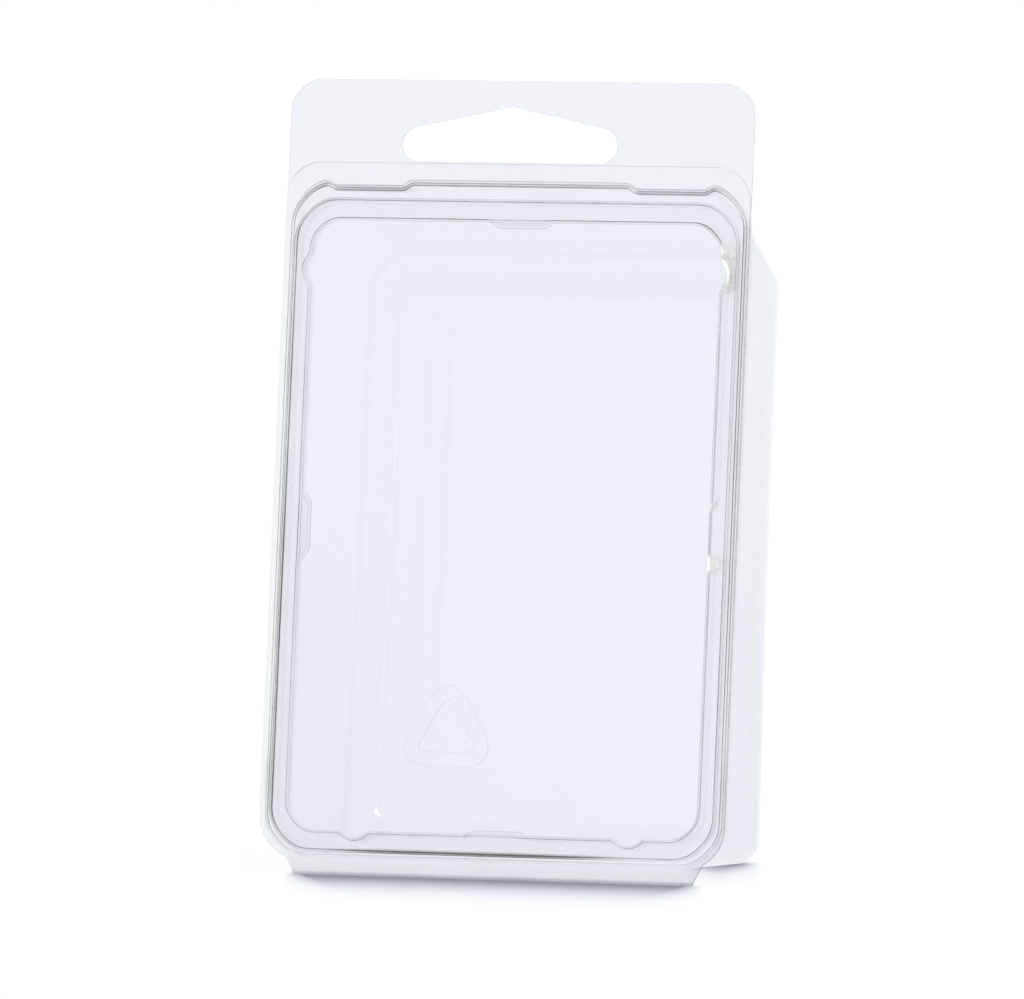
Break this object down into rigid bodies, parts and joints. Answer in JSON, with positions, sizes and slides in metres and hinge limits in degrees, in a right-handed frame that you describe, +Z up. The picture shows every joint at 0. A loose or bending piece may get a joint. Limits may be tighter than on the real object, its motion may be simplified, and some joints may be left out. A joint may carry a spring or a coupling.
{
  "type": "clamshell blister pack",
  "caption": "Empty clear thermoformed clamshell pack: a deep bevelled tray with a hang tab and a plug lid that folds open along the bottom edge.",
  "frame": {"origin": "centre of the box that holds the pack, at the surface it stands on", "axes": "+X to the pack's right as seen from the front, +Y backwards, +Z up; the pack leans back on its fold and the tray's rear bottom edge"},
  "size_m": [0.0688, 0.0476, 0.1116],
  "materials": {
    "clear_sheet": "clear, gloss"
  },
  "bodies": {
    "tray": {"back_tray": "clear_sheet"},
    "lid": {"front_lid": "clear_sheet"}
  },
  "joints": [
    {"name": "lid_fold", "type": "hinge", "parent": "tray", "child": "lid", "pos_m": [0, -0.02341, 0.00003], "axis": [1, 0, 0], "range_deg": [0, 180]}
  ]
}
